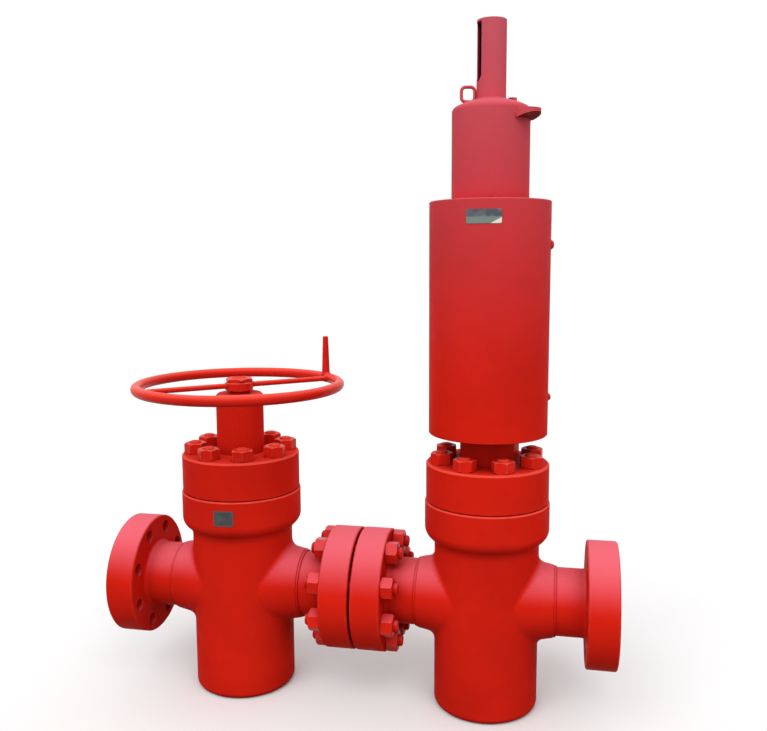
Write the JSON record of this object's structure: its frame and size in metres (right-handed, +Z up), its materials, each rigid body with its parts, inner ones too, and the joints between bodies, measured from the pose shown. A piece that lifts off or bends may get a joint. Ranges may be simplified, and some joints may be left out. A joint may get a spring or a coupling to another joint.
{
  "type": "high pressure manifold",
  "caption": "two flanged gate valves bolted in line, one turned by a crank handwheel, one under a tall spring cylinder actuator, all painted red",
  "frame": {"origin": "on the floor, under the middle of the bolted flange joint between the two valves", "axes": "X along the flow from the hand valve's end flange to the actuated valve's end flange, Z up along the valve stems, Y away from the side that the picture shows"},
  "size_m": [1.1968, 0.506, 1.551],
  "materials": {
    "red_paint": "semi-gloss sprayed enamel"
  },
  "bodies": {
    "manifold": {"manual_valve_body": "red_paint", "manual_end_flange": "red_paint", "manual_joint_flange": "red_paint", "manual_bonnet": "red_paint", "manual_bonnet_studs": "red_paint", "manual_bonnet_nuts": "red_paint", "bearing_column": "red_paint", "joint_studs": "red_paint", "joint_nuts_manual_side": "red_paint", "joint_nuts_actuated_side": "red_paint", "actuated_valve_body": "red_paint", "actuated_joint_flange": "red_paint", "actuated_end_flange": "red_paint", "actuated_bonnet": "red_paint", "actuated_bonnet_studs": "red_paint", "actuated_bonnet_nuts": "red_paint", "actuator_neck": "red_paint", "spring_cylinder": "red_paint", "upper_housing": "red_paint", "stem_protector": "red_paint", "lifting_link": "red_paint", "lifting_lug": "red_paint", "upper_port_plug": "red_paint", "lower_port_plug": "red_paint", "cylinder_bleed_plug": "red_paint", "housing_bleed_plug": "red_paint"},
    "handwheel": {"handwheel_stem": "red_paint", "handwheel_hub": "red_paint", "handwheel_spokes": "red_paint", "handwheel_rim": "red_paint", "handwheel_nut": "red_paint", "crank_handle": "red_paint"}
  },
  "joints": [
    {"name": "handwheel_turn", "type": "hinge", "parent": "manifold", "child": "handwheel", "pos_m": [-0.2992, 0, 0.741], "axis": [0, 0, 1], "range_deg": [0, 6570]}
  ]
}
